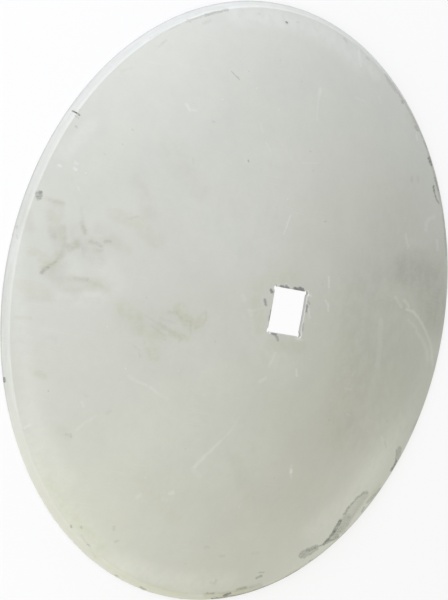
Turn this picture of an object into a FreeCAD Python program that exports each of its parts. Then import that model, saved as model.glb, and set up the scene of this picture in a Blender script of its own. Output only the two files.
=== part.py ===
import FreeCAD, Part
from math import acos, asin, cos, radians, sin, sqrt
import os

os.makedirs("parts", exist_ok=True)

# Harrow disc blade: one round steel sheet, pressed into a shallow dish.
# Millimetres. +Z is the disc's axis and points out of the bulging side.
# The origin is the centre of the circle that the rim stands on.

# Driving dimensions of the sheet
disc_diameter = 560.0
sheet_thickness = 3.5
dish_radius = 640.0  # the hollow face's own radius, which sets how deep the dish is

# Driving dimensions of the cutting edge
edge_land = 0.6  # width of the blunt edge left below the bevel
bevel_angle = 20.0  # degrees between the ground bevel and the sheet

# Driving dimensions of the punched square hole
hole_side = 41.5
relief_radius = 2.5  # the round relief in each corner of the square
relief_overrun = 1.3  # how far a relief reaches past the square's sides
punch_roll = 1.0  # the punch draws the hole's edge on the bulging side into this radius

# Both faces are spheres around one centre, so each point of the section is
# a distance from that centre and an angle from the axis.
disc_radius = disc_diameter / 2
land_radius = dish_radius + edge_land
outer_radius = dish_radius + sheet_thickness
rim_angle = asin(disc_radius / land_radius)
centre_z = -dish_radius * cos(rim_angle)

# The bevel is a straight line that climbs away from the land.
# It ends where it meets the bulging face, at the shoulder.
bevel = radians(bevel_angle)
bevel_sweep = acos(land_radius * cos(bevel) / outer_radius) - bevel
shoulder_angle = rim_angle - bevel_sweep


def at(radius, angle):
    return FreeCAD.Vector(radius * sin(angle), 0, centre_z + radius * cos(angle))


# The section on one side of the axis, turned into the whole sheet
hollow_top = at(dish_radius, 0)
hollow_rim = at(dish_radius, rim_angle)
land_corner = at(land_radius, rim_angle)
shoulder = at(outer_radius, shoulder_angle)
bulge_top = at(outer_radius, 0)

section = Part.Wire([
    Part.Arc(hollow_top, at(dish_radius, rim_angle / 2), hollow_rim).toShape(),
    Part.makeLine(hollow_rim, land_corner),
    Part.makeLine(land_corner, shoulder),
    Part.Arc(shoulder, at(outer_radius, shoulder_angle / 2), bulge_top).toShape(),
    Part.makeLine(bulge_top, hollow_top),
])
axis_point = FreeCAD.Vector(0, 0, 0)
axis = FreeCAD.Vector(0, 0, 1)
sheet = Part.Face(section).revolve(axis_point, axis, 360)

# The hole's outline: four straight sides, and a round relief at each corner.
# A relief's centre lies inside the corner, on the square's diagonal.
half_side = hole_side / 2
relief_centre = half_side - (relief_radius - relief_overrun)
side_end = relief_centre - sqrt(relief_radius**2 - (half_side - relief_centre)**2)
relief_tip = relief_centre + relief_radius / sqrt(2)
hole_floor = -sheet_thickness
hole_reach = hollow_top.z + 2 * sheet_thickness - hole_floor


def corner(turn):
    # the start, the tip and the end of one relief, turned a quarter at a time
    quarter = FreeCAD.Rotation(axis, 90 * turn)
    points = ((half_side, side_end), (relief_tip, relief_tip), (side_end, half_side))
    return [quarter.multVec(FreeCAD.Vector(x, y, hole_floor)) for x, y in points]


hole_edges = []
for turn in range(4):
    start, tip, end = corner(turn)
    hole_edges.append(Part.Arc(start, tip, end).toShape())
    hole_edges.append(Part.makeLine(end, corner(turn + 1)[0]))
hole = Part.Face(Part.Wire(hole_edges)).extrude(axis * hole_reach)

punched = sheet.cut(hole)

# The hole's edge on the bulging side, where the punch went in, is rolled over
bulging_face = max(
    (face for face in punched.Faces if isinstance(face.Surface, Part.Sphere)),
    key=lambda face: face.Surface.Radius,
)
punched_edges = [
    edge
    for edge in bulging_face.Edges
    if all(v.Point.distanceToLine(axis_point, axis) < hole_side for v in edge.Vertexes)
]
disc_blade = punched.makeFillet(punch_roll, punched_edges)
disc_blade.exportStep("parts/disc_blade.step")
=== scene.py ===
from math import acos, asin, atan2, cos, hypot, pi, radians, sin, sqrt

import bpy
from mathutils import Matrix, Vector


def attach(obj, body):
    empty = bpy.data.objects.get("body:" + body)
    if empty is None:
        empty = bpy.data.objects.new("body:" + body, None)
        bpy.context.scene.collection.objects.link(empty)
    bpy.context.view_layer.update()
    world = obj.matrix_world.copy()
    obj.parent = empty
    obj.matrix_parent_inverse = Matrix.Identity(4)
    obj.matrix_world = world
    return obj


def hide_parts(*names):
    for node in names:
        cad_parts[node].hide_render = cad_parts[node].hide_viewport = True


# The dressed harrow disc blade. Sizes are written in millimetres and go into the scene as metres.

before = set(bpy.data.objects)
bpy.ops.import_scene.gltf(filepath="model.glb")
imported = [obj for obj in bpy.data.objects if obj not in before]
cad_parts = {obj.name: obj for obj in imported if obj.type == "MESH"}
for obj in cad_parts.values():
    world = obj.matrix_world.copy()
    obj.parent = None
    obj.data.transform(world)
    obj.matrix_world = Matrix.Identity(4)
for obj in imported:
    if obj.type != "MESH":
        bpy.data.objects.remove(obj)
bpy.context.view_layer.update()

MM = 0.001

# The sheet and its two faces, which are spheres round one centre below the floor. The bulging face's
# rings lie a little inside its sphere, so that the skin stays within the solid's flat facets.
DISC_RADIUS = 280.0
HOLLOW_RADIUS = 640.0
SHEET = 3.5
BULGE_RADIUS = HOLLOW_RADIUS + SHEET
FACE_RADIUS = BULGE_RADIUS - 0.003
LAND = 0.6
LAND_RADIUS = HOLLOW_RADIUS + LAND
BEVEL_ANGLE = radians(20.0)
RIM_ANGLE = asin(DISC_RADIUS / LAND_RADIUS)
CENTRE_Z = -HOLLOW_RADIUS * cos(RIM_ANGLE)
LAND_Z = CENTRE_Z + LAND_RADIUS * cos(RIM_ANGLE)
HOLLOW_RIM_R = HOLLOW_RADIUS * sin(RIM_ANGLE)
SHOULDER_ANGLE = RIM_ANGLE + BEVEL_ANGLE - acos(LAND_RADIUS * cos(BEVEL_ANGLE) / BULGE_RADIUS)
SHOULDER_R = BULGE_RADIUS * sin(SHOULDER_ANGLE)
SHOULDER_Z = CENTRE_Z + BULGE_RADIUS * cos(SHOULDER_ANGLE)

# The punched square hole, its corner reliefs and its rolled edge
HALF_SIDE = 41.5 / 2
RELIEF_RADIUS = 2.5
RELIEF_REACH = 1.3
RELIEF_CENTRE = HALF_SIDE - RELIEF_RADIUS + RELIEF_REACH
ROLL = 1.0

# The mesh: rings of points, each ring going once round the axis
TURN_STEPS = 360
QUARTERS = 4
QUARTER_STEPS = TURN_STEPS // QUARTERS
RELIEF_STEPS = 22
HALF_SIDE_STEPS = (QUARTER_STEPS - RELIEF_STEPS) // 2
ROLL_STEPS = 6

# Rings near the hole keep its shape, and change into circles between these two
SQUARE_GROW = 10.0
CIRCLE_R = 50.0

# How far the rings near the hole lie outside its outline, and their shares of the change into a circle
FACE_GROWS = (ROLL, 1.25, 1.6, 2.1, 2.8, 3.8, 5.2, 7.2, SQUARE_GROW)
FACE_CHANGE = (0.2, 0.4, 0.6, 0.8)
HOLLOW_CHANGE = (0.75, 0.5, 0.25)
HOLLOW_GROWS = (SQUARE_GROW, 7.0, 4.5, 2.5, 1.2, 0.4)

# The spacing of the circles, and how far inside the shoulder and the hollow's rim the last ones lie
FACE_STEP = 3.0
HOLLOW_STEP = 6.0
SHOULDER_GAPS = (1.5, 0.7, 0.25)
RIM_GAPS = (0.0, 0.4, 2.0)

# Rings down the bevel, across the land and up the hole's wall, as shares of the way
BEVEL_SHARES = (0.0, 0.03, 0.1, 0.3, 0.5, 0.7, 0.9, 0.97)
LAND_SHARES = (0.0, 0.5)
WALL_SHARES = (0.0, 0.12, 0.5)

# Regions of the surface. The bulging side is painted by quarter turns, since each quarter has its own marks.
FACE, BEVEL, WALL, HOLLOW = range(4)
WALL_SLOT, HOLLOW_SLOT = QUARTERS, QUARTERS + 1


def mixed(a, b, share):
    return a + (b - a) * share


def on_sphere(radius, x, y):
    return Vector((x, y, CENTRE_Z + sqrt(radius**2 - x * x - y * y)))


def hole_outline(grow):
    """The hole's outline, grown outwards by grow: a list of (x, y), starting at the middle of the +X side."""
    side = HALF_SIDE + grow
    radius = RELIEF_RADIUS + grow
    side_end = RELIEF_CENTRE - sqrt(radius**2 - (side - RELIEF_CENTRE) ** 2)
    first = atan2(side_end - RELIEF_CENTRE, side - RELIEF_CENTRE)
    last = pi / 2 - first
    quarter = [(side, side_end * i / HALF_SIDE_STEPS) for i in range(HALF_SIDE_STEPS)]
    for i in range(RELIEF_STEPS + 1):
        angle = mixed(first, last, i / RELIEF_STEPS)
        quarter.append((RELIEF_CENTRE + radius * cos(angle), RELIEF_CENTRE + radius * sin(angle)))
    quarter += [(side_end * i / HALF_SIDE_STEPS, side) for i in range(HALF_SIDE_STEPS - 1, 0, -1)]
    outline = []
    for _ in range(QUARTERS):
        outline += quarter
        quarter = [(-y, x) for x, y in quarter]
    return outline


def circle(r):
    turns = [2 * pi * i / TURN_STEPS for i in range(TURN_STEPS)]
    return [(r * cos(turn), r * sin(turn)) for turn in turns]


def square_to_circle(share):
    pairs = zip(hole_outline(SQUARE_GROW), circle(CIRCLE_R))
    return [(mixed(a[0], b[0], share), mixed(a[1], b[1], share)) for a, b in pairs]


def steps(start, end, size):
    """Evenly spaced values from start to end, both included, about size apart."""
    count = max(1, round(abs(end - start) / size))
    return [mixed(start, end, i / count) for i in range(count + 1)]


def blade_rings():
    """The rings from the hole's rolled edge out to the rim, back under the sheet and up the hole's wall.
    Each one comes with the region that follows it."""
    rings = []

    def add(region, points):
        rings.append((points, region))

    def add_on_sphere(region, radius, outline):
        add(region, [on_sphere(radius, x, y) for x, y in outline])

    def add_cone(region, shares, start, end):
        """Circles between two of them, each given by its radius and height."""
        for share in shares:
            r, z = mixed(start[0], end[0], share), mixed(start[1], end[1], share)
            add(region, [Vector((x, y, z)) for x, y in circle(r)])

    for grow in FACE_GROWS:
        add_on_sphere(FACE, FACE_RADIUS, hole_outline(grow))
    for share in FACE_CHANGE:
        add_on_sphere(FACE, FACE_RADIUS, square_to_circle(share))
    last, *closer = (SHOULDER_R - gap for gap in SHOULDER_GAPS)
    for r in steps(CIRCLE_R, last, FACE_STEP) + closer:
        add_on_sphere(FACE, FACE_RADIUS, circle(r))

    add_cone(BEVEL, BEVEL_SHARES, (SHOULDER_R, SHOULDER_Z), (DISC_RADIUS, LAND_Z))
    add_cone(BEVEL, LAND_SHARES, (DISC_RADIUS, LAND_Z), (HOLLOW_RIM_R, 0.0))

    *closer, first = (HOLLOW_RIM_R - gap for gap in RIM_GAPS)
    for r in closer + steps(first, CIRCLE_R, HOLLOW_STEP):
        add_on_sphere(HOLLOW, HOLLOW_RADIUS, circle(r))
    for share in HOLLOW_CHANGE:
        add_on_sphere(HOLLOW, HOLLOW_RADIUS, square_to_circle(share))
    for grow in HOLLOW_GROWS:
        add_on_sphere(HOLLOW, HOLLOW_RADIUS, hole_outline(grow))

    edge = hole_outline(0.0)
    below = [on_sphere(HOLLOW_RADIUS, x, y) for x, y in edge]
    rolled = [on_sphere(FACE_RADIUS, x, y) for x, y in hole_outline(ROLL)]
    for share in WALL_SHARES:
        add(WALL, [Vector((p.x, p.y, mixed(p.z, q.z - ROLL, share))) for p, q in zip(below, rolled)])
    for step in range(ROLL_STEPS):
        angle = pi / 2 * step / ROLL_STEPS
        out, drop = 1 - cos(angle), ROLL * (1 - sin(angle))
        pairs = zip(edge, rolled)
        add(FACE, [Vector((mixed(x, q.x, out), mixed(y, q.y, out), q.z - drop)) for (x, y), q in pairs])
    return rings


def sharp_rings(rings):
    """The numbers of the rings on sharp edges: both edges of the land, and the hole's edge in the hollow."""
    regions = [region for _, region in rings]
    hollow_rim = regions.index(HOLLOW)
    return hollow_rim - len(LAND_SHARES), hollow_rim, regions.index(WALL)


def build_blade():
    rings = blade_rings()
    mesh = bpy.data.meshes.new("blade_skin")
    points = [tuple(p * MM) for ring, _ in rings for p in ring]
    faces, slots = [], []
    own_slots = {WALL: WALL_SLOT, HOLLOW: HOLLOW_SLOT}
    for i, (_, region) in enumerate(rings):
        here = i * TURN_STEPS
        there = (i + 1) % len(rings) * TURN_STEPS
        for a in range(TURN_STEPS):
            b = (a + 1) % TURN_STEPS
            faces.append((here + a, there + a, there + b, here + b))
            slots.append(own_slots.get(region, a // QUARTER_STEPS))
    mesh.from_pydata(points, [], faces)
    mesh.polygons.foreach_set("material_index", slots)
    mesh.polygons.foreach_set("use_smooth", [True] * len(faces))
    sharp = sharp_rings(rings)
    for edge in mesh.edges:
        first, second = (v // TURN_STEPS for v in edge.vertices)
        if first == second and first in sharp:
            edge.use_edge_sharp = True
    mesh.update()
    blade = bpy.data.objects.new("blade_skin", mesh)
    bpy.context.scene.collection.objects.link(blade)
    return blade


class Shader:
    """Adds nodes to a tree: a value is a number, a colour or vector, or another node's output."""

    def __init__(self, tree):
        self.tree = tree

    def node(self, kind, values=None, **settings):
        made = self.tree.nodes.new(kind)
        for name, setting in settings.items():
            setattr(made, name, setting)
        for socket, value in (values or {}).items():
            if isinstance(value, bpy.types.NodeSocket):
                self.tree.links.new(value, made.inputs[socket])
            else:
                made.inputs[socket].default_value = value
        return made

    def math(self, operation, *values, clamp=False):
        settings = {"operation": operation, "use_clamp": clamp}
        return self.node("ShaderNodeMath", dict(enumerate(values)), **settings).outputs[0]

    def vector(self, operation, *values):
        made = self.node("ShaderNodeVectorMath", dict(enumerate(values)), operation=operation)
        return made.outputs["Value" if operation in ("LENGTH", "DOT_PRODUCT") else "Vector"]

    def scaled(self, vector, factor):
        values = {"Vector": vector, "Scale": factor}
        return self.node("ShaderNodeVectorMath", values, operation="SCALE").outputs[0]

    def mapped(self, vector, turn, scale):
        values = {"Vector": vector, "Rotation": (0, 0, radians(turn)), "Scale": scale}
        return self.node("ShaderNodeMapping", values).outputs[0]

    def noise(self, place, size, detail=2.0, roughness=0.5, color=False):
        values = {"Vector": place, "Scale": 1 / size, "Detail": detail, "Roughness": roughness}
        return self.node("ShaderNodeTexNoise", values).outputs["Color" if color else "Fac"]

    def ramp(self, value, low, high, to_low=0.0, to_high=1.0, kind="SMOOTHSTEP"):
        values = {"Value": value, "From Min": low, "From Max": high, "To Min": to_low, "To Max": to_high}
        return self.node("ShaderNodeMapRange", values, interpolation_type=kind).outputs[0]

    def blend(self, share, first, second, kind="MIX"):
        """A mix of two colours: in the node, 0 is the share's socket, and 6 and 7 are the colours'."""
        values = {0: share, 6: first, 7: second}
        return self.node("ShaderNodeMix", values, data_type="RGBA", blend_type=kind).outputs[2]

    def toned(self, color, factor):
        """A colour with its three parts multiplied by one number."""
        grey = self.node("ShaderNodeCombineXYZ", {0: factor, 1: factor, 2: factor}).outputs[0]
        return self.blend(1.0, color, grey, "MULTIPLY")

    def tinted(self, share, color, tint):
        """A colour multiplied by a tint, by a share of the way."""
        return self.blend(share, color, self.blend(1.0, color, tint, "MULTIPLY"))


def empty_tree(owner):
    """The node tree of a material or a world, with nothing in it yet."""
    owner.use_nodes = True
    owner.node_tree.nodes.clear()
    return Shader(owner.node_tree)


# Paint and dirt colours, and tints that multiply the colour below them. The grime, stain and haze colours
# also paint shade in broad soft strokes, and the chalk colour also paints light and reflection in pale
# strokes.
PAINT_COOL = (0.507, 0.515, 0.456, 1.0)
PAINT_WARM = (0.505, 0.511, 0.446, 1.0)
CHALK_AND_LIGHT = (0.78, 0.78, 0.74, 1.0)
GRIME_AND_SHADE = (0.11, 0.11, 0.09, 1.0)
BARE_STEEL = (0.13, 0.13, 0.135, 1.0)
STAIN_AND_SHADE = (0.9, 0.892, 0.785, 1.0)
HAZE_AND_SHADE = (0.84, 0.83, 0.8, 1.0)
TINGE = (0.995, 0.985, 0.95, 1.0)

# The sizes of the paint's unevenness: slow drift of its tint, clouds, mottling and the grain of the spray
DRIFT_SIZE = 150.0
CLOUD_SIZE = 38.0
MOTTLE_SIZE = 7.0
GRAIN_SIZE = 0.9

# What their noises turn into: the noise's values from and to, then what comes out at each
DRIFT_SHARE = (0.35, 0.65)
MOTTLE_TONE = (0.25, 0.75, 0.986, 1.014)
GRAIN_TONE = (0.2, 0.8, 0.985, 1.015)
CLOUD_ROUGHNESS = (0.3, 0.7, 0.3, 0.38)
CLOUD_SPAN = (0.25, 0.75)
CLOUD_DARKER = 0.035
CLOUD_PALER = 0.02

# How high they stand
GRAIN_HEIGHT = 0.006
MOTTLE_HEIGHT = 0.012
CLOUD_HEIGHT = 0.05

# The bevel: how much rougher it is, where it starts, and its tones from the shoulder outwards, pale at the
# shoulder as a painted highlight, in its streaks and at the rim, also at the rim on the side where the
# shoulder is painted soft
BEVEL_ROUGHER = 0.26
BEVEL_START = (SHOULDER_R - 0.4, SHOULDER_R + 0.2)
BEVEL_HIGHLIGHT_TONE = (SHOULDER_R, SHOULDER_R + 2.6, 1.05, 0.98)
STREAK_TONE = (0.3, 0.7, 0.95, 1.04)
RIM_START = (DISC_RADIUS - 1.2, DISC_RADIUS - 0.2)
RIM_TONE = 0.84
SOFT_SHOULDER_RIM_TONE = 1.04

# The bevel's streaks: how many come one after the other in a radian round the disc, and how wide they are
STREAKS_PER_RADIAN = 14.0
STREAK_WIDTH = 1.4

# The side of the disc on which the shoulder is painted soft: its direction from the axis, how closely a
# place's own direction agrees with it there, and how much of the bevel's tones is lost, which takes away most
# of the painted highlight there
SOFT_SHOULDER_SIDE = (cos(radians(240)), sin(radians(240)), 0.0)
SOFT_SHOULDER_SPAN = (0.78, 0.9)
HIGHLIGHT_LOSS = 0.8

# Painted light on that side, pale patches on the face that stand in for the light on a rounded shoulder:
# where inside the shoulder they come in, their size, how pale they are, and the least share of the bevel's
# tinge between them
SHOULDER_LIGHT_START = (SHOULDER_R - 24.0, SHOULDER_R - 3.0)
SHOULDER_LIGHT_SIZE = 8.0
SHOULDER_LIGHT_LEAST, SHOULDER_LIGHT_MOST = 0.035, 0.085
SHOULDER_LIGHT_SPAN = (0.35, 0.62)
TINGE_LEAST = 0.5

# Hairline scratches: the way they run in degrees, their length, their width, and the noise that shows
HAIRLINES = (
    (62, 60, 0.7, 0.7, 0.76),
    (-28, 45, 0.6, 0.71, 0.77),
    (12, 70, 0.8, 0.71, 0.77),
)

# The areas that show them: their size, the noise's values from and to, and the scratches' strength there
HAIRLINE_AREAS = 55.0
HAIRLINE_SPAN = (0.45, 0.62)
HAIRLINE_STRENGTH = 0.16

# Dust specks: an offset that gives each kind its own places, the share left out, the colour and the strength
SPECKS = (
    (0.0, 0.985, GRIME_AND_SHADE, 0.22),
    (31.0, 0.985, CHALK_AND_LIGHT, 0.28),
)

# How far apart the places for specks are, and where a speck's edge fades, as shares of that
SPECK_SPACING = 13.0
SPECK_EDGE = (0.03, 0.07)

# How the marks' outlines waver: the sizes of the noises and how far they push, and how far at most
COARSE_WAVER = (6.0, 2.6)
FINE_WAVER = (1.6, 1.5)
WAVER = 2.0

# How much longer the disc's own surface is than the marks' layout where it slants most
SLANT = 2.5

# The noises that break the marks up: their sizes, and the direction and size of the rubbing in scuffs
BROKEN_SIZE = 2.2
CLOUDY_SIZE = 9.0
HAZE_AND_SHADE_SIZE = 14.0
RUBBED_TURN = -50
RUBBED_SIZE = (8.0, 1.1)

# How each kind of mark shows through its noise: the noise's values from and to, and the strength at each
SCUFF_AND_SHADE_COVER = (0.32, 0.58, 0.5, 1.1)
RUBBED_COVER = (0.35, 0.62, 0.68, 1.12)
CHIP_COVER = (0.3, 0.45, 0.7, 1.0)
STAIN_AND_SHADE_COVER = (0.36, 0.6, 0.2, 1.0)
HAZE_AND_SHADE_COVER = (0.36, 0.62, 0.35, 1.0)
SCRATCH_COVER = (0.32, 0.5, 0.45, 1.0)
PALE_COVER = (0.3, 0.6, 0.4, 1.0)
SCRATCH_STRENGTH = 0.5
PALE_STRENGTH = 0.3
MARK_ROUGHER = 0.2

# The photograph: its size in pixels, where it was taken from, the directions to the right, down and ahead in
# it, and its lens. The scene's camera stands there, and the marks are found on the disc from there.
PHOTO_WIDTH, PHOTO_HEIGHT = 448, 600
PHOTO_PLACE = Vector((-1881.50, 2.94, 2003.57))
PHOTO_RIGHT = Vector((0.7212555, 0.1744524, 0.6703409))
PHOTO_DOWN = Vector((0.1271155, -0.9846651, 0.1194832))
PHOTO_AHEAD = Vector((0.6809054, -0.0009672, -0.7323707))
FOCAL_LENGTH = 177.30
SENSOR = 36.0

# How a ray of the photograph is followed from the face's sphere down to the bevel: the size and the number of
# its steps, and how far past the rim it may come down
RAY_STEP = 0.05
RAY_STEPS = 400
PAST_RIM = 0.5
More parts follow.
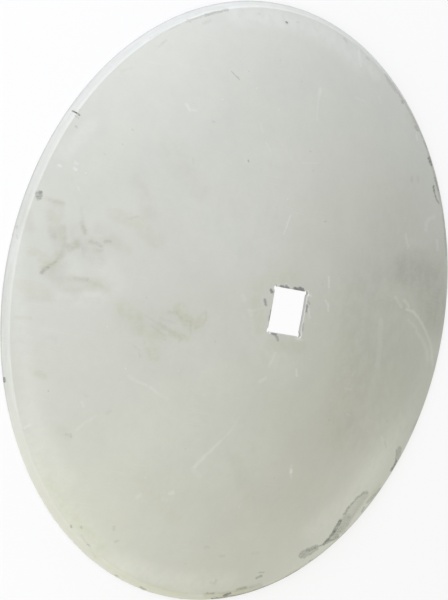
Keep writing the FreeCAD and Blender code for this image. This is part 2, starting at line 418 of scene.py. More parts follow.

# Marks on the bulging face and the bevel. Each is a line through pixels (x, y) of the photograph, with its
# half width, the width of its soft edge and its strength first. The widths are in millimetres on the disc.
# Some strokes paint light and shade. Broad soft ones among the scuffs, stains and hazes are painted shade,
# and so is a dark line along the bottom rim. Pale strokes along the rim and broad pale ones on the face are
# painted light and reflection.
MARKS = {
    "scuff_and_shade": [
        (2.4, 2.2, 0.4, [(399.7, 448.7), (398, 457.5)]),
        (0.9, 1.2, 0.5, [(396.7, 450), (396, 460.8)]),
        (1.3, 1.3, 0.82, [(396.3, 460), (394.5, 465), (391.5, 470.3)]),
        (1.0, 1.6, 0.16, [(384.7, 441.3), (385.8, 446.7)]),
        (1.2, 2.2, 0.18, [(417.5, 420), (411.5, 431)]),
        (1.7, 1.8, 0.55, [(363.3, 493.3), (366.7, 492.7)]),
        (3.4, 2.6, 0.24, [(365, 495), (358.7, 503.3)]),
        (4.6, 3.4, 0.2, [(358.7, 503.3), (348.7, 516.7)]),
        (5.4, 3.6, 0.36, [(347.5, 518.3), (340.3, 528.7)]),
        (4.0, 2.6, 0.45, [(340, 529.3), (333.7, 535.3)]),
        (1.3, 1.8, 0.55, [(362.7, 494), (356.7, 498.7), (350.3, 505.8), (344.3, 514.2)]),
        (1.9, 1.8, 0.85, [(340.3, 520.8), (336, 528.7), (332, 534.7)]),
        (1.3, 1.3, 0.85, [(333.7, 532), (329.3, 538.3), (323.3, 544.3)]),
        (0.8, 1.0, 0.6, [(323, 544.7), (318.7, 546.2)]),
        (1.5, 1.5, 0.6, [(337.7, 536.3), (331.7, 540), (325.8, 542.5)]),
        (1.0, 1.4, 0.35, [(347.5, 530), (343, 533.7)]),
        (1.3, 1.6, 0.36, [(380, 488.7), (373.3, 495.8), (367.5, 502.5)]),
        (0.9, 1.1, 0.5, [(375.3, 494.2), (371, 500)]),
        (0.9, 1.1, 0.45, [(364, 507), (361.7, 511.7)]),
        (1.0, 1.6, 0.28, [(354.2, 514.2), (350, 520.8), (345, 525)]),
        (3.4, 2.2, 0.5, [(302, 554.7), (308, 550.8)]),
        (2.3, 1.8, 0.58, [(308, 550.7), (316.3, 547)]),
        (1.0, 1.5, 0.45, [(304.2, 557.5), (311.3, 553.7), (317.7, 548.7)]),
        (0.6, 0.9, 0.4, [(309.2, 561.2), (312.5, 559.3)]),
        (1.2, 1.2, 0.5, [(256.4, 577.9), (261.4, 576.2)]),
        (0.9, 1.2, 0.36, [(259.3, 572.9), (263.6, 572.3)]),
        (1.2, 1.0, 0.85, [(224, 595.6), (230, 593.4)]),
        (1.0, 1.2, 0.36, [(207.4, 593.4), (213.5, 593.4)]),
        (1.2, 1.2, 0.42, [(237.4, 589.4), (246, 587.6)]),
        # A dark line along the bottom rim: painted shade on the edge of the land
        (0.9, 0.9, 0.55, [
            (212, 598.2), (226, 597), (240, 594.4), (252, 591.2), (264, 587.2), (281, 579.8),
            (300, 569.4),
        ]),
        (1.8, 2.8, 0.12, [(205.6, 547.5), (208, 547.5)]),
        (1.3, 2.0, 0.17, [(221, 556), (224, 555.8)]),
        (1.4, 2.8, 0.08, [(252, 553.3), (258, 553.3)]),
        (0.9, 1.6, 0.15, [(210, 582.7), (215, 583.4), (216, 579.5)]),
        (1.0, 1.4, 0.3, [(389.6, 83.5), (392.5, 86)]),
        (1.0, 1.4, 0.3, [(395.5, 89.5), (398, 91.5)]),
        (0.8, 1.2, 0.3, [(404.5, 99.5), (407, 102.5)]),
        (1.3, 2.0, 0.3, [
            (385, 74.5), (390, 81), (398, 92), (404, 101), (411, 113), (418, 127), (425.5, 143),
            (430, 160), (435.5, 177), (439, 193), (443, 210), (444.6, 227), (446.4, 255),
        ]),
        (2.0, 2.4, 0.22, [(388, 79.5), (396.5, 91)]),
        (1.2, 1.2, 0.4, [(402.2, 99.6), (402.8, 103)]),
        (1.4, 1.8, 0.22, [(407, 106.4), (411, 112.4)]),
        (1.3, 1.4, 0.4, [(415.6, 126.4), (417.4, 130)]),
        (1.2, 1.2, 0.5, [(424, 141), (427, 148)]),
        (1.3, 1.1, 0.9, [(428.9, 157.6), (431.2, 165)]),
        (0.9, 1.0, 0.66, [(434.6, 178), (436.4, 184), (438.4, 190.4)]),
        (1.0, 1.1, 0.4, [(441.5, 195.5), (442.8, 201)]),
        (1.1, 1.0, 0.85, [(433.3, 186.4), (434.1, 191)]),
        (0.9, 1.0, 0.66, [(434.1, 191), (436, 198), (438.8, 203)]),
        (1.4, 2.2, 0.14, [(411.9, 177.4), (411.9, 181.6)]),
        (1.4, 2.2, 0.12, [(418, 177), (418, 181.4)]),
        (0.7, 1.0, 0.25, [(444.5, 214), (445.8, 225)]),
        (3.0, 2.2, 0.55, [(38.6, 194), (39.2, 196.6)]),
        (1.2, 1.3, 0.6, [(37, 193.4), (41, 192)]),
        (1.0, 1.2, 0.4, [(38.6, 199.6), (41.6, 197.6)]),
        (1.8, 2.8, 0.12, [(50, 199.6), (57, 201.5), (62, 203)]),
        (1.7, 1.8, 0.34, [(41.6, 272), (47.5, 267.2)]),
        (1.2, 2.0, 0.17, [(47.5, 266.7), (56, 261.4)]),
        (1.3, 3.0, 0.1, [(56, 261.4), (61.7, 253.3), (64.2, 245)]),
        (1.3, 3.2, 0.05, [(64.2, 245), (65.4, 227)]),
        (3.2, 3.6, 0.14, [(70, 247), (77, 244.5)]),
        (1.7, 2.2, 0.2, [(83, 226.5), (85.4, 232)]),
        (1.4, 3.0, 0.06, [(81, 207), (83, 224)]),
        (1.2, 2.6, 0.07, [(81.7, 245), (84, 256.7)]),
        (1.5, 1.8, 0.16, [(90.6, 241.6), (93.6, 242.8)]),
        (1.6, 1.8, 0.17, [(97, 243), (101.2, 246)]),
        (1.4, 1.6, 0.18, [(105.6, 241.6), (109.4, 240.8)]),
        (1.2, 2.0, 0.1, [(97.4, 251), (102.6, 250)]),
        (1.8, 2.4, 0.13, [(75, 278.6), (86.6, 280.2)]),
        (1.3, 2.6, 0.07, [(90, 282), (102, 286)]),
        (1.1, 2.0, 0.1, [(128, 218.4), (138, 216.8)]),
        (2.6, 3.6, 0.06, [(50, 232), (55, 237)]),
        (2.6, 3.6, 0.07, [(38, 373), (44, 376)]),
        (2.2, 4.0, 0.05, [(50, 337.5), (56, 341)]),
        (1.2, 2.4, 0.06, [(85, 395), (87, 396.4)]),
        (0.7, 0.8, 0.4, [(48.2, 390.2), (48.9, 390.9)]),
        (1.1, 1.0, 0.75, [(4.1, 378.2), (4.7, 381.2)]),
        (1.2, 1.6, 0.17, [(66, 434.4), (69.6, 435)]),
        (4.0, 5.0, 0.05, [(61, 430), (69, 436)]),
        (0.8, 1.0, 0.26, [(70.6, 434), (71.2, 437)]),
        (0.9, 0.9, 0.5, [(70.7, 526.4), (71.4, 527.4)]),
        (0.8, 1.2, 0.26, [(81, 526.6), (81.8, 527.6)]),
        (0.8, 1.2, 0.34, [(87.4, 544.4), (88.2, 545.6)]),
        (0.9, 2.0, 0.1, [(81, 535), (87, 544), (95, 556)]),
        (0.9, 1.1, 0.3, [(115.6, 575), (118.2, 576.6)]),
        (0.9, 1.0, 0.5, [(140.6, 587), (145.6, 589.4)]),
        (1.1, 1.8, 0.16, [(114, 526.4), (114.2, 530)]),
        (1.2, 1.8, 0.16, [(115, 542), (117.6, 540.6)]),
        (0.75, 0.7, 1.0, [(72.8, 110.8), (76, 112.6), (79.6, 115.2)]),
        (0.45, 0.6, 0.4, [(74.5, 115.5), (78.5, 118.2)]),
        (0.6, 0.8, 0.4, [(76, 126.2), (77, 127.4)]),
        (0.7, 1.0, 0.22, [(16.4, 226), (16.8, 228.5)]),
        (0.7, 1.0, 0.18, [(17, 236), (17.2, 238.5)]),
        (0.8, 1.4, 0.26, [(186, 21.8), (203, 15.8)]),
        (1.2, 1.4, 0.36, [(205, 15.2), (216, 12.4), (227, 10)]),
        (0.8, 1.6, 0.14, [(150, 38), (166, 30.5), (180, 24.6)]),
        (1.1, 1.2, 0.22, [(187.6, 20), (190.4, 21.4)]),
        (0.8, 1.3, 0.14, [(159.6, 46.2), (163, 42.4), (166.6, 39.8)]),
        (1.6, 2.6, 0.06, [(122, 71), (132, 67.5)]),
        (1.6, 2.6, 0.12, [(204, 23.5), (210, 21)]),
        (0.9, 0.9, 0.75, [(286.3, 22.2), (287, 22.9)]),
        (1.2, 1.8, 0.22, [(344.4, 38.6), (347, 42)]),
        (0.9, 1.4, 0.2, [(366.5, 57), (369, 60)]),
        (0.5, 0.8, 0.2, [(258, 14), (260, 14.4)]),
        (0.6, 0.9, 0.38, [(231.6, 71.8), (235.4, 75.6), (239.4, 79.4)]),
        (0.7, 0.8, 0.55, [(248, 160.4), (249, 161.6)]),
        (0.9, 1.8, 0.08, [(193, 158), (194, 163)]),
        (0.5, 0.8, 0.22, [(310, 151), (311, 152)]),
        (0.6, 0.9, 0.22, [(297, 22), (298.4, 22.6)]),
        (0.6, 0.9, 0.18, [(212.5, 121), (214.5, 122)]),
        (0.6, 0.9, 0.2, [(132, 129.6), (133.4, 130.6)]),
        (0.6, 0.9, 0.14, [(104, 153), (105, 154)]),
        (0.5, 0.7, 0.4, [(329, 419.6), (329.8, 420.2)]),
        (0.6, 0.9, 0.22, [(325, 221.2), (326, 221.8)]),
        (0.7, 1.2, 0.12, [(387, 421), (388.2, 422)]),
        # Broad soft strokes on the right of the face: painted shade
        (18, 28, 0.13, [(408, 268), (430, 274), (436, 312)]),
        (24, 44, 0.035, [(382, 240), (374, 330)]),
        (1.5, 2.2, 0.1, [(168.6, 312), (175.7, 312.9), (181.4, 317.9), (185.7, 323.6)]),
        (1.4, 2.2, 0.07, [(160.5, 318.5), (168, 321.4), (175.7, 323.6)]),
        (1.8, 2.6, 0.12, [(159.5, 323.6), (166, 328.4), (175, 333.8)]),
        (1.3, 2.0, 0.09, [(175, 333.8), (184.3, 335.7)]),
        (0.9, 1.3, 0.1, [(185.7, 321), (190.4, 321.5), (190.6, 334)]),
        (1.0, 1.6, 0.08, [(205.7, 311.4), (206, 319), (202.9, 325.7), (195.7, 327.4)]),
        (1.0, 1.5, 0.1, [(175.7, 334), (181.4, 338.6), (178.6, 342)]),
        (0.9, 1.5, 0.08, [(152, 326), (158, 331), (166, 336)]),
        (0.9, 1.5, 0.07, [(146, 316), (152, 320), (158, 325)]),
        (1.0, 1.8, 0.08, [(134, 346), (139, 350), (140, 357)]),
        (1.6, 2.2, 0.07, [(107, 413), (110, 411)]),
    ],
    "chip": [
        (1.1, 1.2, 0.8, [(281.2, 286.5), (288.1, 287.5)]),
        (0.9, 1.1, 0.6, [(286.5, 285.2), (287.8, 288.1)]),
        (1.3, 1.2, 0.9, [(294.8, 288.8), (302.5, 289.8)]),
        (1.2, 1.2, 0.8, [(299.5, 287.5), (302.5, 288.8)]),
        (1.3, 1.3, 0.75, [(271, 289.8), (272, 291.9)]),
        (1.2, 1.6, 0.6, [(264.6, 299.4), (266, 304.4)]),
        # The next two are dark lines along the hole's left and right edges
        (0.7, 1.0, 0.6, [(271, 310), (270.1, 315.6), (269.2, 320)]),
        (0.8, 1.0, 0.65, [(307, 305.6), (306.6, 311.9)]),
        (0.8, 1.2, 0.35, [(308.5, 301.9), (309.5, 303.5)]),
        (0.9, 1.1, 0.7, [(272, 333.8), (276.2, 334.2)]),
        (1.1, 1.4, 0.5, [(275.5, 335), (277.9, 340)]),
        (0.7, 1.1, 0.35, [(303.5, 322.5), (302.5, 330)]),
    ],
    "stain_and_shade": [
        (2.8, 4, 0.6, [(48, 199), (56, 201.4), (63, 203.6)]),
        (3.4, 4, 0.36, [(50, 214), (56, 221)]),
        (3, 4, 0.4, [(52, 229), (54, 237)]),
        (1.5, 2.6, 0.55, [(15, 317), (31, 318.6)]),
        (3.6, 4.4, 0.4, [(36, 372.6), (44, 376)]),
        (3.0, 3.2, 0.6, [(408, 115), (414.6, 126)]),
        (3.4, 4, 0.55, [(63, 230), (64, 250)]),
        (4.5, 5, 0.5, [(42.5, 259.5), (53, 262.5)]),
        (3.6, 5, 0.7, [(42, 270.5), (52, 264), (60, 255)]),
        (4, 4, 0.55, [(69, 248), (76, 243)]),
        (2.6, 3, 0.9, [(82.6, 224), (86, 233)]),
        (3, 4, 0.32, [(90, 242), (109, 241)]),
        (4, 5, 0.5, [(30, 250), (44, 258)]),
        (2.6, 3, 0.9, [(71, 278), (86, 280)]),
        (3, 4, 0.36, [(90, 283), (102, 286)]),
        (6, 8, 0.4, [(22, 286), (44, 292)]),
        (5, 7, 0.45, [(112, 214), (138, 222)]),
        (6, 9, 0.35, [(140, 226), (156, 242)]),
        (6, 6, 0.6, [(122, 308), (136, 318)]),
        (6, 5, 0.8, [(180, 309), (188, 322)]),
        (4, 4, 0.7, [(197, 327), (205, 316)]),
        (7, 8, 0.5, [(140, 330), (158, 334)]),
        (5, 5, 0.7, [(150, 344), (154, 356)]),
        (4, 4, 0.6, [(172, 333), (186, 338)]),
        (6, 10, 0.5, [(258, 286), (274, 279), (294, 277)]),
        (5, 6, 0.5, [(256, 300), (260, 330)]),
        (6, 8, 0.5, [(272, 345), (300, 348)]),
        # A broad soft stroke on the right of the face: painted shade
        (16, 30, 0.22, [(345, 300), (345, 380), (335, 430)]),
        (2.2, 2.4, 0.75, [(368, 495), (360, 505), (352, 515)]),
        (1.8, 2.0, 0.8, [(380, 484.5), (374, 491), (370, 496.5)]),
        (1.6, 1.6, 0.9, [(205, 593.6), (214, 593.8)]),
        (1.6, 1.6, 0.9, [(222, 594.6), (232, 592.8)]),
        (1.6, 1.8, 0.7, [(236, 590), (248, 586.8)]),
        (2.5, 3.5, 0.5, [(96, 556), (122, 573), (150, 586), (185, 594)]),
        (2.6, 3.6, 0.4, [(261, 353), (266, 362)]),
        (4.0, 7.0, 0.4, [(47, 482), (75, 520), (110, 555)]),
        (6, 9, 0.25, [(140, 480), (175, 520)]),
        (3, 5, 0.25, [(176, 316), (200, 330)]),
        (2.4, 2.8, 0.8, [(207, 595.5), (232, 593), (250, 588.6)]),
    ],
    "haze_and_shade": [
        (7, 9, 0.6, [(55, 212), (62, 262)]),
        (8, 9, 0.5, [(78, 234), (98, 258)]),
        (4, 6, 0.5, [(27, 214), (30, 228)]),
        (3.0, 5.0, 0.3, [(24, 299), (60, 298), (98, 300)]),
        (7, 9, 0.55, [(50, 270), (76, 292)]),
        (5, 8, 0.4, [(60, 283), (104, 286)]),
        (6, 9, 0.4, [(100, 230), (124, 250)]),
        (7, 10, 0.35, [(140, 180), (150, 215)]),
        (10, 14, 0.3, [(170, 150), (200, 190)]),
        (12, 16, 0.24, [(130, 320), (190, 325)]),
        # These seven strokes on the right of the face are painted shade
        (24, 44, 0.5, [(352, 430), (366, 350), (368, 285), (420, 268), (446, 272)]),
        (14, 24, 0.4, [(420, 296), (440, 312)]),
        (18, 26, 0.8, [(404, 272), (430, 278), (436, 312)]),
        (24, 44, 0.3, [(400, 200), (392, 250)]),
        (24, 44, 0.4, [(390, 330), (382, 390), (368, 428)]),
        (14, 26, 0.5, [(368, 300), (404, 304)]),
        (5, 7, 0.35, [(375, 318), (374, 365)]),
        # A dark line along the bottom rim: painted shade on the edge of the land
        (3.0, 3.0, 0.95, [(206, 596), (217, 595.5), (232, 593.5), (248, 589.8), (260, 586)]),
        (6, 9, 0.3, [(236, 460), (250, 500)]),
    ],
    "scratch": [
        (1.6, 2.6, 0.38, [(194, 467), (205, 456)]),
        (1.1, 2.0, 0.38, [(205, 456), (221, 441)]),
        (0.8, 1.8, 0.26, [(221, 441), (231, 431)]),
        (0.8, 2.0, 0.14, [(231, 431), (239, 417)]),
        (2.4, 3.4, 0.14, [(194, 470), (200, 476)]),
        (1.6, 2.6, 0.16, [(129, 376), (136, 381)]),
        (1.1, 2.0, 0.3, [(136, 380.6), (147, 385.4)]),
        (1.1, 1.9, 0.3, [(150.5, 387), (156, 392)]),
        (1.5, 2.6, 0.16, [(158, 393.4), (167, 398.4)]),
        (1.1, 2.0, 0.16, [(76, 430), (84, 423), (96, 416)]),
        (1.4, 2.0, 0.42, [(187, 104.6), (189.6, 109.6)]),
        (1.1, 2.0, 0.3, [(190.4, 109.8), (195.6, 110.6)]),
        (0.6, 1.6, 0.22, [(319, 95), (317.8, 106), (317, 121)]),
        (1.5, 2.2, 0.34, [(320.6, 88.5), (319, 95)]),
        (0.6, 1.1, 0.4, [(290.6, 215), (287, 225), (284, 234)]),
        (0.9, 1.2, 0.55, [(328.9, 277), (328.8, 287)]),
        (0.9, 1.3, 0.5, [(325.2, 300.4), (327.8, 305.4)]),
        (0.9, 1.3, 0.5, [(328.4, 303), (328.5, 310.6)]),
        (0.7, 1.3, 0.12, [(329, 289), (328.6, 301)]),
        (1.4, 1.6, 0.95, [(291.1, 469.6), (291.3, 472.6)]),
        (0.9, 1.6, 0.34, [(291.2, 464.5), (291.2, 478)]),
        (1.6, 2.2, 0.42, [(395.6, 297.5), (401, 306.6)]),
        (1.5, 1.8, 0.5, [(404.6, 300.5), (409, 306.5)]),
        (1.4, 1.8, 0.75, [(406.7, 308.8), (413.3, 311.7), (420, 320), (425.8, 331.7)]),
        (1.4, 2.0, 0.6, [(425.8, 331.7), (430, 341.7), (431.7, 353.3), (432.5, 365)]),
        (1.8, 2.4, 0.4, [(416.7, 331.7), (423.3, 341.7), (426.7, 350), (427.5, 360)]),
        (1.3, 2.0, 0.34, [(408.5, 320.6), (416.7, 328.3)]),
        (2.6, 3.0, 0.24, [(380.8, 321), (379.8, 345), (377.8, 365)]),
        (1.8, 2.6, 0.38, [(425.8, 229.5), (426.6, 222.8), (430, 218), (434.4, 216.8)]),
        (1.0, 1.3, 0.45, [(416.3, 134.6), (417.3, 139.6)]),
        (1.6, 2.0, 0.46, [(437, 240.4), (437.6, 249.4)]),
        (1.3, 2.0, 0.42, [(405.6, 234.6), (408.2, 248)]),
        (4.0, 6.0, 0.16, [(412, 242), (424, 247)]),
        (1.7, 2.2, 0.42, [(170, 493.2), (172.4, 492.6)]),
        (1.7, 2.4, 0.26, [(137.4, 497), (140.6, 495)]),
        (2.0, 2.8, 0.15, [(163, 499), (165.4, 500)]),
        (1.3, 1.5, 0.5, [(58.6, 165.4), (60.6, 166.2)]),
        (1.3, 1.5, 0.5, [(74.4, 168.4), (76, 169.4)]),
        (1.1, 1.5, 0.35, [(75.4, 162.4), (77, 163.8)]),
        (1, 1.7, 0.25, [(78, 187.5), (79, 189)]),
        (1.8, 2.4, 0.2, [(242.6, 296), (245, 300)]),
        (1.6, 2.4, 0.24, [(249, 310), (251.5, 315)]),
        (0.9, 1.8, 0.18, [(252, 310.4), (262, 308)]),
        (0.9, 1.4, 0.5, [(309, 294.6), (311.6, 296)]),
        (0.9, 1.5, 0.45, [(308.4, 309), (309.4, 318)]),
        (0.9, 1.4, 0.5, [(296.6, 338.6), (302, 340)]),
        (0.7, 1.3, 0.4, [(286, 283.6), (289.6, 286)]),
        (1.1, 1.9, 0.26, [(275, 353), (272.4, 359), (269, 366)]),
        (1.3, 2.0, 0.35, [(260, 382), (266, 377.5)]),
        (1.0, 1.4, 0.46, [(296.8, 369), (296.5, 375.6)]),
        (0.7, 1.4, 0.25, [(352, 376), (355, 371.5)]),
        (0.7, 1.4, 0.3, [(345, 388.6), (351, 389.4)]),
        (0.7, 1.4, 0.3, [(347, 414), (350, 415.4)]),
        (1.2, 2.0, 0.3, [(381, 437), (384, 441.5)]),
        (0.7, 1.3, 0.25, [(357, 340), (357, 344)]),
        (0.7, 1.3, 0.2, [(302, 163), (312, 163.5), (319, 162.4)]),
        (0.6, 1.3, 0.3, [(379, 96), (380.6, 103)]),
        (0.9, 1.4, 0.46, [(358.6, 48), (359.6, 57)]),
        (0.9, 1.8, 0.26, [(359.6, 57), (360.8, 66)]),
        (0.7, 1.5, 0.2, [(355, 98), (365, 101)]),
        (0.9, 1.6, 0.25, [(81.6, 401.6), (83.6, 406.6)]),
        (1.1, 1.8, 0.36, [(24, 428.5), (30, 425.2)]),
        (0.7, 1.5, 0.2, [(260, 122), (263, 132)]),
        (0.7, 1.5, 0.25, [(266, 143), (270, 150)]),
    ],
    "pale": [
        (6, 10, 0.3, [(80, 300), (98, 298)]),
        (3.5, 5, 0.4, [(60, 296.5), (98, 295)]),
        (8, 10, 0.3, [(102, 262), (120, 285)]),
        (6, 9, 0.25, [(70, 263), (76, 272)]),
        # Along the lower right rim: painted reflection
        (9, 16, 0.5, [(434, 352), (421, 392), (400, 432), (372, 470), (342, 505), (312, 530)]),
        # Along the bottom rim: painted light beside the shoulder
        (8, 14, 0.4, [(110, 560), (150, 573), (190, 581), (230, 580)]),
        # A broad soft patch on the face: painted light
        (22, 40, 0.22, [(200, 350), (225, 395)]),
        # Along the left rim: painted light beside the shoulder
        (7, 12, 0.35, [(16, 240), (17, 290), (22, 345), (28, 400), (44, 440), (70, 478)]),
        # Along the top rim: painted light on the lit band beside the bevel
        (9, 16, 0.62, [(236, 14), (270, 16), (306, 26), (338, 43), (360, 62)]),
        # Broad soft patches on the face: painted light
        (30, 50, 0.2, [(262, 170), (262, 270)]),
        (34, 50, 0.24, [(160, 430), (240, 450)]),
        (16, 24, 0.24, [(286, 365), (250, 330)]),
        (6, 9, 0.4, [(92, 124), (66, 152)]),
        (4, 6, 0.6, [(370, 68), (376, 77)]),
        # A broad soft patch on the face: painted light
        (20, 40, 0.22, [(206, 200), (236, 262)]),
    ],
}


def stroke_group():
    """How strongly a place lies on a straight stroke: 1 along its middle, 0 outside its soft edge."""
    tree = bpy.data.node_groups.new("stroke", "ShaderNodeTree")
    sockets = {"Place": "Vector", "Start": "Vector", "Direction": "Vector"}
    for name in ("Length", "Inner", "Outer", "Strength", "Below"):
        sockets[name] = "Float"
    for name, kind in sockets.items():
        tree.interface.new_socket(name, in_out="INPUT", socket_type="NodeSocket" + kind)
    tree.interface.new_socket("Mask", in_out="OUTPUT", socket_type="NodeSocketFloat")
    s = Shader(tree)
    given = s.node("NodeGroupInput").outputs
    offset = s.vector("SUBTRACT", given["Place"], given["Start"])
    along = s.vector("DOT_PRODUCT", offset, given["Direction"])
    along = s.math("MAXIMUM", s.math("MINIMUM", along, given["Length"]), 0.0)
    away = s.vector("SUBTRACT", offset, s.scaled(given["Direction"], along))
    distance = s.vector("LENGTH", away)
    mask = s.ramp(distance, given["Inner"], given["Outer"], given["Strength"], 0.0)
    s.node("NodeGroupOutput", {"Mask": s.math("MAXIMUM", mask, given["Below"])})
    return tree


STROKE = stroke_group()


def on_disc(x, y):
    """The place that a pixel of the photograph shows on the bulging face, or on the bevel round it."""
    focal = FOCAL_LENGTH / SENSOR * PHOTO_HEIGHT
    right, down = (x - PHOTO_WIDTH / 2) / focal, (y - PHOTO_HEIGHT / 2) / focal
    ray = (PHOTO_RIGHT * right + PHOTO_DOWN * down + PHOTO_AHEAD).normalized()
    offset = PHOTO_PLACE - Vector((0, 0, CENTRE_Z))
    along = offset.dot(ray)
    distance = -along - sqrt(max(0.0, along**2 - offset.length_squared + BULGE_RADIUS**2))
    on_face = PHOTO_PLACE + ray * distance
    if hypot(on_face.x, on_face.y) <= SHOULDER_R:
        return on_face
    for i in range(RAY_STEPS):
        place = on_face + ray * (i * RAY_STEP)
        r = hypot(place.x, place.y)
        bevel_z = mixed(SHOULDER_Z, LAND_Z, (r - SHOULDER_R) / (DISC_RADIUS - SHOULDER_R))
        if place.z <= bevel_z and r <= DISC_RADIUS + PAST_RIM:
            return place
    return on_face


def laid_flat(place):
    """Where a place lies in the marks' layout, which is the disc seen squarely along PHOTO_AHEAD. The layout
    is fixed to the disc, so the marks stay where they are in every view."""
    return Vector((place.dot(PHOTO_RIGHT), -place.dot(PHOTO_DOWN), 0.0))


def near_quarter(quarter, start, end, reach):
    """Whether a stroke comes within reach of a quarter of the disc, counted from the +X axis."""
    turn = 2 * pi / QUARTERS * quarter
    for share in (0.0, 0.25, 0.5, 0.75, 1.0):
        place = start.lerp(end, share)
        ahead = place.x * cos(turn) + place.y * sin(turn)
        aside = place.y * cos(turn) - place.x * sin(turn)
        if ahead > -reach and aside > -reach:
            return True
    return False


def add_strokes(s, place, marks, quarter):
    """The strokes of one kind that reach a quarter of the disc, joined into one mask."""
    mask = 0.0
    for half_width, soft, strength, pixels in marks:
        line = [on_disc(x, y) for x, y in pixels]
        for start, end in zip(line, line[1:]):
            if not near_quarter(quarter, start, end, SLANT * (half_width + soft + WAVER)):
                continue
            run = laid_flat(end) - laid_flat(start)
            values = {
                "Place": place,
                "Start": laid_flat(start),
                "Direction": run.normalized(),
                "Length": run.length,
                "Inner": max(0.0, half_width - soft / 2),
                "Outer": half_width + soft / 2,
                "Strength": strength,
                "Below": mask,
            }
            mask = s.node("ShaderNodeGroup", values, node_tree=STROKE).outputs["Mask"]
    return mask


def bevel_wear_and_light(s, flat, color, rough):
    """The ground bevel is rougher than the face and streaked along its length, with a pale line along the
    shoulder that is a painted highlight, and it is dark at the rim. On the side where the shoulder is painted
    soft it loses most of that painted highlight and its streaks and is tinged, and the face beside it is
    painted lighter in patches, painted light that stands in for a rounded shoulder."""
    radius = s.vector("LENGTH", flat)
    ground = s.ramp(radius, *BEVEL_START)
    rough = s.math("ADD", rough, s.math("MULTIPLY", ground, BEVEL_ROUGHER))
    outward = s.vector("NORMALIZE", flat)
    across = s.node("ShaderNodeCombineXYZ", {2: s.math("DIVIDE", radius, STREAK_WIDTH)}).outputs[0]
    streak = s.noise(s.vector("ADD", s.scaled(outward, STREAKS_PER_RADIAN), across), 1.0, 3.0, 0.6)
    # Pale at the shoulder as a painted highlight, times the streaks along the bevel
    tone = s.math("MULTIPLY", s.ramp(radius, *BEVEL_HIGHLIGHT_TONE), s.ramp(streak, *STREAK_TONE, "LINEAR"))
    soft_shoulder = s.ramp(s.vector("DOT_PRODUCT", outward, SOFT_SHOULDER_SIDE), *SOFT_SHOULDER_SPAN)
    kept = s.math("MULTIPLY", ground, s.math("SUBTRACT", 1.0, s.math("MULTIPLY", soft_shoulder, HIGHLIGHT_LOSS)))
    tone = s.math("ADD", 1.0, s.math("MULTIPLY", kept, s.math("SUBTRACT", tone, 1.0)))
    rim_tone = s.ramp(soft_shoulder, 0.0, 1.0, RIM_TONE, SOFT_SHOULDER_RIM_TONE, "LINEAR")
    tone = s.math("MULTIPLY", tone, s.ramp(radius, *RIM_START, 1.0, rim_tone))
    color = s.toned(color, tone)

    # Painted light: pale patches on the face inside the shoulder, on the side where the shoulder is painted
    # soft
    beside = s.math("MULTIPLY", s.ramp(radius, *SHOULDER_LIGHT_START), s.math("SUBTRACT", 1.0, ground))
    patchy = s.ramp(s.noise(flat, SHOULDER_LIGHT_SIZE, 4.0, 0.6), *SHOULDER_LIGHT_SPAN, SHOULDER_LIGHT_LEAST, SHOULDER_LIGHT_MOST, "LINEAR")
    shoulder_light = s.math("ADD", 1.0, s.math("MULTIPLY", s.math("MULTIPLY", beside, soft_shoulder), patchy))
    tinged = s.ramp(patchy, SHOULDER_LIGHT_LEAST, SHOULDER_LIGHT_MOST, TINGE_LEAST, 1.0, "LINEAR")
    tinged = s.math("MULTIPLY", s.math("MULTIPLY", ground, soft_shoulder), tinged)
    return s.toned(s.tinted(tinged, color, TINGE), shoulder_light), rough


def hairline(s, place, turn, along, across, low, high):
    """Fine straight scratches that run one way: noise stretched along them and cut off high."""
    turned = s.mapped(place, turn, (1 / along, 1 / across, 1))
    return s.ramp(s.noise(turned, 1.0, 1.0), low, high)


def with_hairlines(s, place, flat, color, worn):
    """Faint hairline scratches in three directions, where a slow noise lets them through."""
    lines = hairline(s, flat, *HAIRLINES[0])
    for kind in HAIRLINES[1:]:
        lines = s.math("MAXIMUM", lines, hairline(s, flat, *kind))
    let = s.ramp(s.noise(place, HAIRLINE_AREAS, 1.0), *HAIRLINE_SPAN)
    lines = s.math("MULTIPLY", lines, s.math("MULTIPLY", let, HAIRLINE_STRENGTH * worn))
    return s.blend(lines, color, CHALK_AND_LIGHT)


def with_specks(s, flat, color, worn):
    """Dust specks: a few dark, a few pale."""
    for offset, left_out, speck_color, strength in SPECKS:
        moved = s.vector("ADD", flat, (offset, offset, 0.0))
        values = {"Vector": moved, "Scale": 1 / SPECK_SPACING}
        cells = s.node("ShaderNodeTexVoronoi", values, voronoi_dimensions="2D").outputs
        pick = s.node("ShaderNodeSeparateColor", {0: cells["Color"]}).outputs
        chosen = s.math("GREATER_THAN", pick[0], left_out)
        dot = s.ramp(cells["Distance"], *SPECK_EDGE, 1.0, 0.0)
        dot = s.math("MULTIPLY", s.math("MULTIPLY", dot, chosen), strength * worn)
        color = s.blend(dot, color, speck_color)
    return color


def wavering(s, layout, flat):
    """The place in the marks' layout, nudged by noise so that the marks' outlines waver."""
    for size, push in (COARSE_WAVER, FINE_WAVER):
        nudge = s.vector("SUBTRACT", s.noise(flat, size, 2.0, color=True), (0.5, 0.5, 0.5))
        layout = s.vector("ADD", layout, s.scaled(nudge, push))
    return s.vector("MULTIPLY", layout, (1.0, 1.0, 0.0))


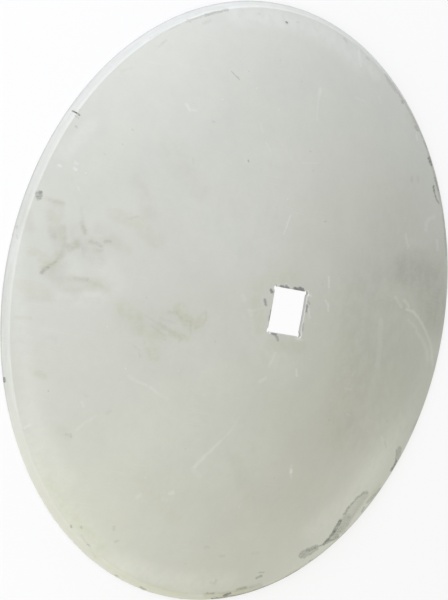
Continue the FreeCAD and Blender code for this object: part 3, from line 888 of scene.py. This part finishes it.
def with_marks(s, place, flat, color, rough, quarter):
    """Stains, hazes, pale rubs, scratches, scuffs and chips, in the order in which they cover each other.
    Broad soft strokes among the stains, hazes and scuffs, and a dark line along the bottom rim, are painted
    shade; pale strokes along the rim and broad pale ones on the face are painted light and reflection.
    """
    right, up = (s.vector("DOT_PRODUCT", place, way) for way in (PHOTO_RIGHT, -PHOTO_DOWN))
    layout = s.node("ShaderNodeCombineXYZ", {0: right, 1: up}).outputs[0]
    nudged = wavering(s, layout, flat)
    broken = s.noise(flat, BROKEN_SIZE, 4.0, 0.65)
    rubbed = s.mapped(layout, RUBBED_TURN, (1 / RUBBED_SIZE[0], 1 / RUBBED_SIZE[1], 1))
    rubbed = s.ramp(s.noise(rubbed, 1.0, 2.0), *RUBBED_COVER, "LINEAR")
    masks = {kind: add_strokes(s, nudged, marks, quarter) for kind, marks in MARKS.items()}

    cloudy = s.noise(flat, CLOUDY_SIZE, 4.0, 0.6)
    # Stains, and broad soft ones that are painted shade
    stain_and_shade = s.math("MULTIPLY", masks["stain_and_shade"], s.ramp(cloudy, *STAIN_AND_SHADE_COVER))
    color = s.tinted(stain_and_shade, color, STAIN_AND_SHADE)
    # Hazes, and broad soft ones and a line along the bottom rim that are painted shade
    haze_and_shade = s.math("MULTIPLY", masks["haze_and_shade"], s.ramp(s.noise(flat, HAZE_AND_SHADE_SIZE, 5.0, 0.62), *HAZE_AND_SHADE_COVER))
    color = s.tinted(haze_and_shade, color, HAZE_AND_SHADE)
    # Pale patches, some of them painted light and reflection along the rim and on the face
    pale = s.math("MULTIPLY", masks["pale"], s.ramp(cloudy, *PALE_COVER))
    color = s.blend(s.math("MULTIPLY", pale, PALE_STRENGTH), color, CHALK_AND_LIGHT)
    scratch = s.math("MULTIPLY", masks["scratch"], s.ramp(broken, *SCRATCH_COVER))
    color = s.blend(s.math("MULTIPLY", scratch, SCRATCH_STRENGTH), color, CHALK_AND_LIGHT)
    # Scuffs, and broad soft ones and a line along the bottom rim that are painted shade
    scuff_and_shade = s.math("MULTIPLY", masks["scuff_and_shade"], s.ramp(broken, *SCUFF_AND_SHADE_COVER))
    scuff_and_shade = s.math("MULTIPLY", scuff_and_shade, rubbed, clamp=True)
    color = s.blend(scuff_and_shade, color, GRIME_AND_SHADE)
    chip = s.math("MULTIPLY", masks["chip"], s.ramp(broken, *CHIP_COVER))
    color = s.blend(chip, color, BARE_STEEL)
    return color, s.math("ADD", rough, s.math("MULTIPLY", s.math("MAXIMUM", scuff_and_shade, scratch), MARK_ROUGHER))


def paint_material(name, quarter, worn):
    """Thin pale paint on steel. quarter says whose marks it carries, and worn how rubbed the rest is."""
    material = bpy.data.materials.new(name)
    s = empty_tree(material)
    place = s.scaled(s.node("ShaderNodeTexCoord").outputs["Object"], 1 / MM)
    flat = s.vector("MULTIPLY", place, (1.0, 1.0, 0.0))

    drift = s.noise(place, DRIFT_SIZE, 2.0)
    cloud = s.noise(place, CLOUD_SIZE, 4.0, 0.6)
    mottle = s.noise(place, MOTTLE_SIZE, 3.0, 0.6)
    grain = s.noise(place, GRAIN_SIZE, 2.0, 0.6)
    color = s.blend(s.ramp(drift, *DRIFT_SHARE), PAINT_COOL, PAINT_WARM)
    light = s.ramp(cloud, *CLOUD_SPAN, 1 - CLOUD_DARKER * worn, 1 + CLOUD_PALER * worn, "LINEAR")
    light = s.math("MULTIPLY", light, s.ramp(mottle, *MOTTLE_TONE, "LINEAR"))
    light = s.math("MULTIPLY", light, s.ramp(grain, *GRAIN_TONE, "LINEAR"))
    color = s.toned(color, light)
    rough = s.ramp(cloud, *CLOUD_ROUGHNESS, "LINEAR")
    height = s.math("MULTIPLY", grain, GRAIN_HEIGHT)
    height = s.math("ADD", height, s.math("MULTIPLY", mottle, MOTTLE_HEIGHT))
    height = s.math("ADD", height, s.math("MULTIPLY", cloud, CLOUD_HEIGHT))

    if quarter is not None:
        color, rough = bevel_wear_and_light(s, flat, color, rough)
    color = with_hairlines(s, place, flat, color, worn)
    color = with_specks(s, flat, color, worn)
    if quarter is not None:
        color, rough = with_marks(s, place, flat, color, rough, quarter)

    bump = s.node("ShaderNodeBump", {"Strength": 1.0, "Distance": MM, "Height": height}).outputs[0]
    values = {"Base Color": color, "Roughness": rough, "Normal": bump, "IOR": 1.5}
    shader = s.node("ShaderNodeBsdfPrincipled", values)
    s.node("ShaderNodeOutputMaterial", {"Surface": shader.outputs[0]})
    return material


# Lamps: name, azimuth and elevation of the lamp seen from the disc, distance, width, height, power, colour
LAMPS = [
    ("key_upper", 135, 30, 3.0, 2.0, 1.4, 67.0, (0.88, 0.87, 1.0)),
    ("key_lower", 225, 30, 3.0, 2.0, 1.4, 61.0, (0.82, 0.85, 1.0)),
    ("side_upper", 90, 12, 3.0, 2.4, 1.0, 59.0, (0.76, 0.8, 1.0)),
    ("high_upper", 90, 40, 3.0, 2.0, 1.4, 16.0, (1.0, 1.0, 0.75)),
    ("side_lower", 270, 12, 3.0, 2.4, 1.0, 31.0, (1.0, 0.94, 0.84)),
    ("high_lower", 270, 40, 3.0, 2.0, 1.4, 14.0, (1.0, 1.0, 0.3)),
    ("low_card", 340, 3, 3.0, 1.1, 0.5, 5.0, (0.95, 1.0, 0.95)),
]


def add_lamp(name, azimuth, elevation, distance, width, height, power, color):
    lamp = bpy.data.lights.new(name, "AREA")
    lamp.shape = "RECTANGLE"
    lamp.size, lamp.size_y = width, height
    lamp.energy = power
    lamp.color = color
    holder = bpy.data.objects.new(name, lamp)
    az, el = radians(azimuth), radians(elevation)
    place = Vector((cos(el) * cos(az), cos(el) * sin(az), sin(el))) * distance
    holder.location = place
    holder.rotation_euler = place.to_track_quat("Z", "Y").to_euler()
    holder.visible_camera = False
    bpy.context.scene.collection.objects.link(holder)


WHITE = (1.0, 1.0, 1.0, 1.0)

# The floor: its half width, how far it lies below the blade, and its colour. All in metres.
FLOOR_HALF = 4.0
FLOOR_DROP = 0.0002
FLOOR_COLOR = (0.85, 0.85, 0.85, 1.0)

# How much of the floor's look is plain white, by distance from the axis: more in the hole than beside the
# blade, where the floor takes the shadow, and all of it far away, like the backdrop. The near white glow in
# the hole is painted light that lifts the blade's shadow from the floor seen through it.
HOLE_WHITE = (0.12, 0.22, 0.97, 0.75)
FAR_WHITE = (0.9, 2.4, 0.0, 1.0)

# The strength of the even light from all round
FILL = 0.1


def backdrop_rays(s):
    """1 for rays that show the white backdrop: seen by the camera, mirrored in gloss or passed by glass."""
    path = s.node("ShaderNodeLightPath").outputs
    seen = s.math("ADD", path["Is Camera Ray"], path["Is Glossy Ray"])
    return s.math("ADD", seen, path["Is Transmission Ray"], clamp=True)


def add_floor():
    mesh = bpy.data.meshes.new("floor")
    signs = ((-1, -1), (1, -1), (1, 1), (-1, 1))
    corners = [(x * FLOOR_HALF, y * FLOOR_HALF, -FLOOR_DROP) for x, y in signs]
    mesh.from_pydata(corners, [], [(0, 1, 2, 3)])
    floor = bpy.data.objects.new("floor", mesh)
    bpy.context.scene.collection.objects.link(floor)
    material = bpy.data.materials.new("floor")
    s = empty_tree(material)
    away = s.vector("LENGTH", s.node("ShaderNodeTexCoord").outputs["Object"])
    white = s.math("MAXIMUM", s.ramp(away, *HOLE_WHITE), s.ramp(away, *FAR_WHITE))
    share = s.math("MULTIPLY", backdrop_rays(s), white)
    lit = s.node("ShaderNodeBsdfDiffuse", {"Color": FLOOR_COLOR})
    glow = s.node("ShaderNodeEmission", {"Color": WHITE, "Strength": 1.0})
    both = s.node("ShaderNodeMixShader", {0: share, 1: lit.outputs[0], 2: glow.outputs[0]})
    s.node("ShaderNodeOutputMaterial", {"Surface": both.outputs[0]})
    mesh.materials.append(material)
    return floor


def set_world():
    world = bpy.data.worlds.new("studio")
    bpy.context.scene.world = world
    s = empty_tree(world)
    fill = s.node("ShaderNodeBackground", {"Color": WHITE, "Strength": FILL})
    backdrop = s.node("ShaderNodeBackground", {"Color": WHITE, "Strength": 1.0})
    both = s.node("ShaderNodeMixShader", {0: backdrop_rays(s), 1: fill.outputs[0], 2: backdrop.outputs[0]})
    s.node("ShaderNodeOutputWorld", {"Surface": both.outputs[0]})


# How near and how far the camera sees, in metres
NEAREST, FARTHEST = 0.1, 20.0


def add_camera():
    lens = bpy.data.cameras.new("camera")
    lens.sensor_fit = "AUTO"
    lens.sensor_width = SENSOR
    lens.lens = FOCAL_LENGTH
    lens.clip_start, lens.clip_end = NEAREST, FARTHEST
    camera = bpy.data.objects.new("camera", lens)
    turned = Matrix((PHOTO_RIGHT, -PHOTO_DOWN, -PHOTO_AHEAD)).transposed().to_4x4()
    camera.matrix_world = Matrix.Translation(PHOTO_PLACE * MM) @ turned
    bpy.context.scene.collection.objects.link(camera)
    bpy.context.scene.camera = camera


# How rubbed the paint is on the bulging side, on the hole's wall and in the hollow
BULGE_WORN, WALL_WORN, HOLLOW_WORN = 1.0, 1.5, 0.6

blade = build_blade()
for quarter in range(QUARTERS):
    blade.data.materials.append(paint_material(f"bulge_paint_{quarter}", quarter, BULGE_WORN))
blade.data.materials.append(paint_material("wall_paint", None, WALL_WORN))
blade.data.materials.append(paint_material("hollow_paint", None, HOLLOW_WORN))
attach(blade, "root")
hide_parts("disc_blade")

for lamp in LAMPS:
    add_lamp(*lamp)
add_floor()
set_world()
add_camera()
bpy.context.scene.view_settings.view_transform = "Standard"
